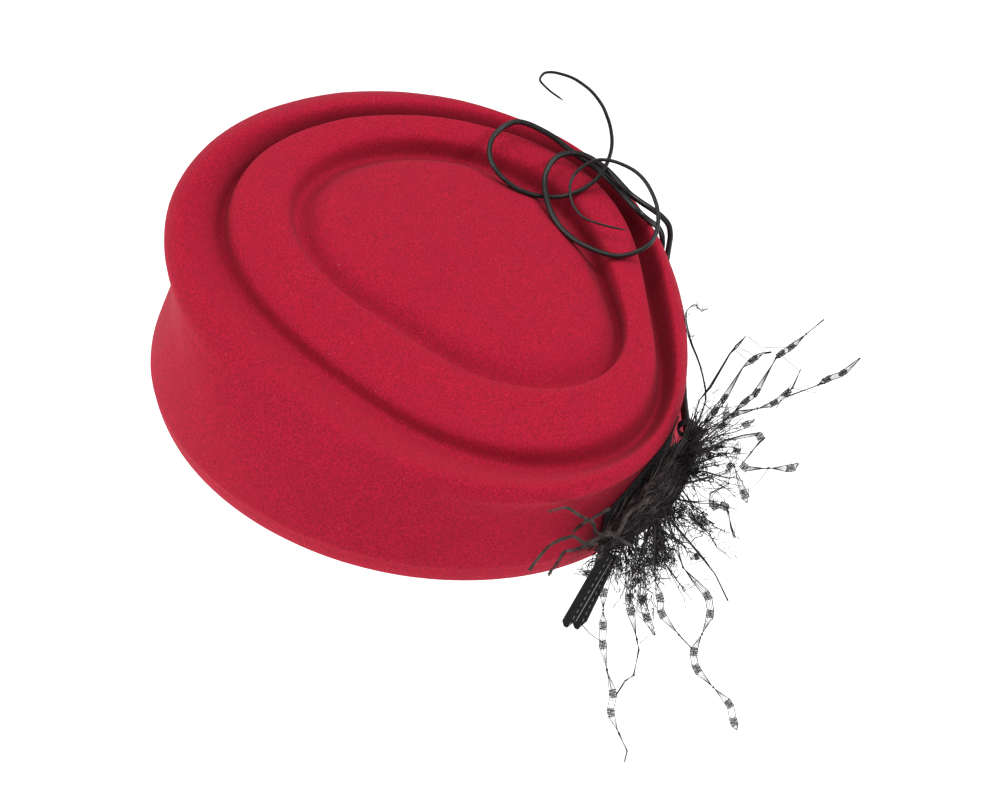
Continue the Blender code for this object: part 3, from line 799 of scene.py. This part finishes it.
def build_core():
    """The bound middle of the spray: a ribbed dark body with long fibres laid across it."""
    route = smooth_route(core_route(), 6)
    vertices, faces = [], []

    def streaks(turn, u):
        ridge = 0.09 * math.sin(13 * turn + 9 * u) + 0.07 * math.sin(29 * turn - 14 * u)
        return 0.78 + ridge + 0.06 * math.sin(9 * math.pi * u + 2 * turn)

    sweep(vertices, faces, route, lambda u: CORE_RADIUS * core_swell(u), 72, streaks)
    add_piece("herl_body", vertices, faces, HERL, ["trim_core"])
    dice = random.Random(11)
    frame_out = SPRAY.col[2].xyz
    dark, light = [], []
    for number in range(CORE_FIBRES):
        start = dice.uniform(-0.16, 0.85)
        span = dice.uniform(0.15, 0.5)
        turn = dice.gauss(0, 1.0)
        lift = dice.uniform(0.8, 1.32)
        cross = dice.gauss(0.5, 1.1)
        stray = dice.uniform(0, 5) * MM if dice.random() < 0.3 else 0.0
        points = []
        for k in range(9):
            share = start + span * k / 8
            inside = min(max(share, 0), 1)
            centre, axis = route_point(route, inside)
            centre += axis * (share - inside) * CORE_LENGTH
            facing = (frame_out - axis * frame_out.dot(axis)).normalized()
            across = axis.cross(facing)
            drift = turn + cross * (k / 8 - 0.5)
            swell = CORE_RADIUS * core_swell(keep_on_core(share)) * lift + stray * (k / 8) ** 2
            swell += dice.uniform(-0.2, 0.2) * MM
            points.append(centre + (facing * math.cos(drift) + across * math.sin(drift)) * swell)
        thick = dice.uniform(0.16, 0.34) * MM
        (light if number % 2 == 0 else dark).append((points, thick, thick * 0.4))
    add_threads("herl_fibres", dark, HERL)
    add_threads("herl_pale_fibres", light, HERL_LIGHT)


def add_barbs(dice, threads, spine, count, longest):
    """Short stiff barbs that branch off a fibre, each with an elbow in it."""
    for k in range(1, len(spine)):
        along = (spine[k] - spine[k - 1]).normalized()
        for _ in range(count):
            side = along.cross(jitter(dice, 1.0)).normalized()
            start = spine[k - 1].lerp(spine[k], dice.random())
            reach = (along * dice.uniform(-0.2, 1) + side * dice.uniform(0.5, 1)).normalized()
            end = start + reach * dice.uniform(1.4, longest) * MM
            bend = start.lerp(end, 0.5) + jitter(dice, 0.7 * MM)
            threads.append(([start, bend, end], dice.uniform(0.13, 0.26) * MM, 0.09 * MM))


def add_shred(dice, threads, at, along):
    """A torn scrap of net: a woven bar, with loose threads at its ends."""
    facing = SPRAY.col[2].xyz
    along = (along + jitter(dice, 0.5)).normalized()
    across = along.cross(facing + jitter(dice, 0.5)).normalized()
    width = dice.uniform(1.6, 2.6) * MM
    threads += bar_threads(dice, at, along, across, width)
    for k in range(4):
        side = across * (k / 3 - 0.5) * width
        start = at + side * 0.3 - along * dice.uniform(3, 6) * MM
        end = at + side * dice.uniform(0.2, 1.6) + along * dice.uniform(4, 7) * MM
        threads.append(([start, at + side, end], 0.15 * MM, 0.09 * MM))


def build_tufts():
    """Each tuft is a ragged net: kinked fibres with barbs, cross-threads, hairs and torn scraps."""
    for number, (share, tip, straight) in enumerate(SPRAYS, start=1):
        dice = random.Random(100 + number)
        threads, spines = [], []
        wander = 1.25 - 0.8 * straight
        low = 4 - 6 * straight
        for _ in range(TUFT_CLUMPS):
            spread = Vector((dice.gauss(0, 8.0), dice.gauss(0, 6.5), abs(dice.gauss(0, 7.0)) - low))
            target = in_spray([Vector(tip) + spread])[0]
            root = from_core(keep_on_core(share + dice.gauss(0, 0.07)), target, -1.0)
            end = root.lerp(target, dice.uniform(0.55, 1.12))
            spine = kinked(dice, root, end, 9, wander * MM, jitter(dice, 4 * wander * MM))
            spines.append(spine)
            for _ in range(dice.randint(1, 3)):
                shift = jitter(dice, 0.5 * MM)
                flare = jitter(dice, 3.6 * MM)
                points = []
                for k, p in enumerate(spine):
                    points.append(p + shift + jitter(dice, 0.25 * MM) + flare * (k / 9) ** 2)
                threads.append((points, dice.uniform(0.16, 0.34) * MM, 0.12 * MM))
            add_barbs(dice, threads, spine[3:], 2 if straight < 0.4 else 1, 4.6)
            if dice.random() < 0.25:
                add_shred(dice, threads, spine[-2], spine[-1] - spine[-3])
        for _ in range(TUFT_LINKS):
            start = dice.choice(dice.choice(spines)[3:])
            end = dice.choice(dice.choice(spines)[3:])
            if (end - start).length < TUFT_LINK_LONGEST:
                end = start.lerp(end, dice.uniform(0.6, 1.15))
                threads.append((kinked(dice, start, end, 3, 0.6 * MM), 0.17 * MM, 0.12 * MM))
        for _ in range(TUFT_HAIRS):
            spread = Vector([dice.gauss(0, 8) for _ in range(3)])
            target = in_spray([Vector(tip) + spread])[0]
            root = from_core(keep_on_core(share + dice.gauss(0, 0.08)), target, -0.5)
            end = root.lerp(target, dice.uniform(0.8, 1.3))
            hair = kinked(dice, root, end, 8, 0.4 * MM, jitter(dice, 4 * MM))
            threads.append((hair, 0.15 * MM, 0.08 * MM))
        add_threads(f"herl_spray_{number}", threads, HERL, [f"herl_tuft_{number}"], 3)


def quill_shape(turn, u):
    """A split shaft: two lobes with a groove between them, and a fainter one behind."""
    groove = math.exp(-((math.atan2(math.sin(turn), math.cos(turn)) / 0.45) ** 2))
    back = math.exp(-((math.atan2(math.sin(turn - math.pi), math.cos(turn - math.pi)) / 0.35) ** 2))
    return 1 - 0.34 * groove - 0.15 * back


def quill_thickness(u):
    """The shaft's radius: the CAD quill's taper, with the very tip cut to a short point."""
    tip = 1 if u < 0.99 else max(0.5, (1 - u) / 0.01)
    return 1.08 * MM * quill_taper(u) * tip


def build_quills():
    """The two curled shafts, and the thread wound round them where they leave the spray."""
    noise.seed_set(1)
    routes = []
    for number, (outset, rise, curl) in enumerate(QUILLS, start=1):
        routes.append(quill_route(outset, rise, curl))
        route = smooth_route(routes[-1], 5)
        line = [p + noise.noise_vector(p * 220) * 0.12 * MM for p in route]
        vertices, faces = [], []
        sweep(vertices, faces, line, quill_thickness, 16, quill_shape)
        add_piece(f"curled_quill_{number}", vertices, faces, QUILL, [f"quill_{number}"])
    middle = (routes[0][2] + routes[1][2]) / 2
    axis = (routes[0][3] - routes[0][1]).normalized()
    side = axis.orthogonal().normalized()
    coil = []
    for k in range(145):
        turn = math.tau * k / 24
        spoke = side * math.cos(turn) + axis.cross(side) * math.sin(turn)
        coil.append(middle + spoke * 3.4 * MM + axis * (k / 144 - 0.5) * 3.2 * MM)
    plies = [(points, 0.2 * MM, 0.2 * MM) for points in twisted(coil, 0.17 * MM, 30)]
    add_threads("wound_binding", plies, THREAD, ["quill_binding"], 5)


def net_frames(points):
    """For each point of a tendril, its place and the directions along and across the threads."""
    places = in_spray([p for _, *p in points])
    facing = SPRAY.col[2].xyz
    frames = []
    for i, place in enumerate(places):
        along = direction(places, i)
        frames.append((place, along, along.cross(facing).normalized()))
    return frames


def thread_offsets(kind, dice, width):
    """How far each thread lies to the side of the tendril's line."""
    even = [(k / (NET_THREADS - 1) - 0.5) * width for k in range(NET_THREADS)]
    if kind == LOOSE:
        return [0.5 * offset + dice.uniform(-0.3, 0.3) * MM for offset in even]
    share = {BAR: 1, CROSS: -0.12, LINE: 0.14}[kind]
    return [share * offset for offset in even]


def net_threads(dice, points, width, root):
    """A tendril's threads: five along it, then the bars and the wraps that hold them together."""
    frames = net_frames(points)
    threads = []
    offsets = [thread_offsets(kind, dice, width) for kind, *_ in points]
    for j in range(NET_THREADS):
        line = [root + jitter(dice, 0.5 * MM)] if root else []
        for (place, along, across), offset, (kind, *_) in zip(frames, offsets, points):
            if kind == BAR:
                for end in (-1, 1):
                    line.append(place + across * offset[j] + along * end * BAR_LENGTH * 0.5)
            else:
                line.append(place + across * offset[j] + jitter(dice, 0.15 * MM))
        edge = j in (0, NET_THREADS - 1)
        thick = (0.19 if edge else 0.11) * MM
        threads.append((line, thick, thick * 0.8))
    for (place, along, across), (kind, *_) in zip(frames, points):
        if kind == BAR:
            threads += bar_threads(dice, place, along, across, width)
        if kind == CROSS:
            wrap = across * 0.45 * MM
            threads.append(([place - wrap, place + wrap], 0.3 * MM, 0.2 * MM))
    return threads


def bar_threads(dice, place, along, across, width):
    """A woven bar: close threads across the tendril, and a few more along it."""
    bar = []
    for k in range(6):
        at = place + along * (k / 5 - 0.5) * BAR_LENGTH
        reach = across * (width / 2 + dice.uniform(0.05, 0.4) * MM)
        skew = along * dice.uniform(-0.2, 0.2) * MM
        middle = at + jitter(dice, 0.08 * MM)
        bar.append(([at - reach - skew, middle, at + reach + skew], 0.15 * MM, 0.15 * MM))
    for k in range(6):
        at = place + across * (k / 5 - 0.5) * width
        reach = along * (BAR_LENGTH / 2 + dice.uniform(0, 0.9) * MM)
        bar.append(([at - reach, at + reach], 0.12 * MM, 0.12 * MM))
    return bar


def build_net():
    """The open tendrils, each with a few loose threads that link it to the next one."""
    for number, (share, points) in NET.items():
        dice = random.Random(300 + number)
        first = in_spray([points[0][1:]])[0]
        root = from_core(share, first, 0.3) if share is not None else None
        width = BAR_WIDTH * (UPPER_WIDTH if number <= UPPER_TENDRILS else LOWER_WIDTH)
        threads = net_threads(dice, points, width, root)
        beside = NET[number + 1][1] if number + 1 in NET else points
        for _ in range(14):
            start = in_spray([dice.choice(points)[1:]])[0] + jitter(dice, 2 * MM)
            end = in_spray([dice.choice(beside)[1:]])[0] + jitter(dice, 2 * MM)
            if LINK_SHORTEST < (end - start).length < LINK_LONGEST:
                threads.append((kinked(dice, start, end, 3, 0.5 * MM), 0.12 * MM, 0.08 * MM))
        add_threads(f"net_tendril_{number}", threads, NETTING, [f"veil_{number}"])


def build_hidden_strand():
    """The tendril that stands up behind the felt and shows past its edge."""
    dice = random.Random(309)
    line = in_spray(HIDDEN_STRAND)
    threads = []
    for _ in range(4):
        shift = jitter(dice, 0.35 * MM)
        strand = smooth_route([p + shift + jitter(dice, 0.2 * MM) for p in line], 3)
        threads.append((strand, 0.2 * MM, 0.1 * MM))
    for _ in range(26):
        at = line[dice.randint(2, 6)] + jitter(dice, 1.0 * MM)
        threads.append(([at, at + jitter(dice, 2.4 * MM)], 0.12 * MM, 0.05 * MM))
    add_threads("net_tendril_9", threads, NETTING, ["veil_9"])


def build_stray_hair():
    """A single hair that hangs in a curve under the straps."""
    line = smooth_route(in_spray(STRAY_HAIR), 6)
    add_threads("stray_hair", [(line, 0.22 * MM, 0.12 * MM)], NETTING)


def build_feathered():
    """Soft strips over the felt: a bundle of strands with close fine barbs all round."""
    for number, strips in FEATHERED.items():
        dice = random.Random(500 + number)
        threads = []
        for strip in strips:
            line = smooth_route(in_spray(strip), 5)
            for _ in range(7):
                shift = jitter(dice, 0.4 * MM)
                strand = [p + shift + jitter(dice, 0.15 * MM) for p in line]
                threads.append((strand, 0.24 * MM, 0.12 * MM))
            for i in range(1, len(line)):
                along = (line[i] - line[i - 1]).normalized()
                for _ in range(10):
                    side = along.cross(jitter(dice, 1.0)).normalized()
                    start = line[i - 1].lerp(line[i], dice.random())
                    end = start + (along * 0.9 + side * 0.8) * dice.uniform(0.6, 1.3) * MM
                    threads.append(([start, end], 0.11 * MM, 0.05 * MM))
        name = f"feathered_strip_{number - FIRST_FEATHERED + 1}"
        add_threads(name, threads, FEATHER, [f"veil_{number}"])


def on_strap(points, out):
    """Points of the strap's plane, given to the side and up the fan, as points of the hat."""
    return in_spray([(p.x / MM, p.y / MM, out) for p in points])


def build_straps():
    """Flat straps with cut corners, a line of stitches down the middle and a pale line along one edge."""
    for number, (start, end, out) in enumerate(STRAPS, start=1):
        start, end = Vector(start) * MM, Vector(end) * MM
        along = (end - start).normalized()
        across = Vector((-along.y, along.x)) * (STRAP_WIDTH / 2 - 0.2 * MM)
        outline = [start - across, end - across - along * 1.5 * MM, end - across * 0.3]
        outline += [end + across * 0.3, end + across - along * 4 * MM, start + across]
        half_thick = STRAP_THICK / 2 / MM
        vertices = on_strap(outline, out - half_thick) + on_strap(outline, out + half_thick)
        faces = []
        join_rings(faces, 0, 2, len(outline))
        node = f"stitched_strap_{number}"
        strap = add_piece(f"strap_{number}", vertices, faces, LEATHER, [node])
        bevel = strap.modifiers.new("edges", "BEVEL")
        bevel.width = 0.25 * MM
        bevel.segments = 3
        face_out = out + half_thick + 0.08
        stitches = []
        for k in range(int((end - start).length / STITCH_PITCH)):
            low = start + along * (k * STITCH_PITCH + 0.9 * MM) + across * 0.42
            high = low + along * 1.5 * MM
            ends = on_strap([low, high], face_out - 0.2)
            top = on_strap([low.lerp(high, 0.3), low.lerp(high, 0.7)], face_out)
            stitches.append(([ends[0], *top, ends[1]], 0.11 * MM, 0.11 * MM))
        add_threads(f"strap_stitches_{number}", stitches, PALE_THREAD, sides=6)
        rim_low = start + across * 1.04
        rim_high = end + across * 1.04 - along * 4 * MM
        rim = on_strap([rim_low, rim_low.lerp(rim_high, 0.5), rim_high], face_out - 0.25)
        edge = [(rim, 0.14 * MM, 0.14 * MM)]
        add_threads(f"strap_edge_{number}", edge, PALE_THREAD, sides=6)


def add_light(name, place, size, power):
    """A round soft lamp that faces the middle of the hat."""
    data = bpy.data.lights.new(name, "AREA")
    data.shape = "DISK"
    data.size = size
    data.energy = power
    lamp = add_object(name, data)
    lamp.location = place
    lamp.rotation_euler = (LIT_POINT - lamp.location).to_track_quat("-Z", "Y").to_euler()


def add_camera():
    """The camera looks down on the hat's low end from its left, rolled a little."""
    data = bpy.data.cameras.new("camera")
    data.sensor_width = 36
    data.lens = CAMERA_LENS
    camera = add_object("camera", data)
    angles = (CAMERA_AZIMUTH, CAMERA_HEIGHT_ANGLE, -CAMERA_ROLL)
    around, low, turn = (math.radians(angle) for angle in angles)
    view = plane_axes(around, low, turn)
    offset = Vector((CAMERA_SIDE, CAMERA_RISE, CAMERA_DISTANCE))
    view.translation = plane_axes(around, low, 0) @ offset
    camera.matrix_world = view
    bpy.context.scene.camera = camera


def add_studio():
    """A white floor well below the hat, an even dome and three soft lamps."""
    scene = bpy.context.scene
    scene.view_settings.view_transform = "Standard"
    world = bpy.data.worlds.new("studio")
    world.use_nodes = True
    set_inputs(world.node_tree.nodes["Background"], {"Color": (1, 1, 1, 1), "Strength": DOME})
    scene.world = world
    mesh = bpy.data.meshes.new("floor")
    corners = ((-1, -1), (1, -1), (1, 1), (-1, 1))
    mesh.from_pydata([(4 * x, 4 * y, FLOOR) for x, y in corners], [], [(0, 1, 2, 3)])
    floor = add_object("floor", mesh)
    paint = make_material("floor_paper", (0.93, 0.93, 0.93), 0.9)
    nodes, links, shader = parts_of(paint)
    set_inputs(shader, {"Emission Color": (1, 1, 1, 1), "Emission Strength": 0.6})
    mesh.materials.append(paint)
    clear = nodes.new("ShaderNodeBsdfTransparent")
    side = nodes.new("ShaderNodeNewGeometry")
    mix = nodes.new("ShaderNodeMixShader")
    links.new(side.outputs["Backfacing"], mix.inputs["Fac"])
    links.new(shader.outputs["BSDF"], mix.inputs[1])
    links.new(clear.outputs["BSDF"], mix.inputs[2])
    links.new(mix.outputs["Shader"], nodes["Material Output"].inputs["Surface"])
    add_light("key", (0.75, 0.75, 1.3), 0.7, KEY_POWER)
    add_light("left", (-0.5, -1.5, 0.55), 0.9, LEFT_POWER)
    add_light("top", (-0.35, -0.3, 1.7), 1.0, TOP_POWER)


SPRAY = spray_frame()
FELT_CLOTH = make_felt()
RIBBON = make_fibre("grosgrain_cloth", (0.012, 0.01, 0.011), (0.035, 0.03, 0.033), 0.75, 900)
THREAD = make_fibre("twisted_thread", (0.01, 0.009, 0.01), (0.03, 0.027, 0.03), 0.65, 1200)
ELASTIC = make_fibre("braided_elastic", (0.014, 0.013, 0.014), (0.04, 0.038, 0.04), 0.7, 1500)
BUCKRAM = make_fibre("buckram_mesh", (0.012, 0.011, 0.012), (0.03, 0.028, 0.03), 0.85, 700)
HERL = make_fibre("herl_dark", (0.006, 0.005, 0.006), (0.036, 0.028, 0.034), 0.55, 500)
HERL_LIGHT = make_fibre("herl_long", (0.02, 0.016, 0.016), (0.13, 0.105, 0.1), 0.6, 260)
NETTING = make_fibre("net_thread", (0.01, 0.008, 0.01), (0.035, 0.029, 0.035), 0.6, 400)
FEATHER = make_fibre("feathered_thread", (0.03, 0.025, 0.024), (0.14, 0.115, 0.105), 0.9, 300)
QUILL = make_fibre("quill_shaft", (0.004, 0.004, 0.004), (0.014, 0.014, 0.014), 0.38, 350, coat=0.15)
LEATHER = make_fibre("strap_patent", (0.006, 0.006, 0.006), (0.014, 0.013, 0.013), 0.35, 600, coat=0.3)
PALE_THREAD = make_fibre("pale_thread", (0.22, 0.21, 0.2), (0.5, 0.49, 0.47), 0.5, 900)
PLASTIC = make_fibre("comb_moulded", (0.01, 0.01, 0.01), (0.02, 0.02, 0.02), 0.3, 300, coat=0.4)
STEEL = make_material("wire_steel", (0.42, 0.42, 0.43), 0.35, metallic=1.0)
mottle(STEEL, add_noise(STEEL, 400, 3), (0.3, 0.3, 0.31), (0.52, 0.52, 0.53))
relief(STEEL, add_noise(STEEL, 1500, 2, (1, 1, 0.1)), 0.03 * MM, 0.4)

add_camera()
add_studio()
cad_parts["hem_wire"].data.materials.clear()
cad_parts["hem_wire"].data.materials.append(STEEL)
build_felt()
build_band()
build_comb()
build_stitches()
build_elastic()
build_base()
build_core()
build_tufts()
build_quills()
build_net()
build_hidden_strand()
build_stray_hair()
build_feathered()
build_straps()
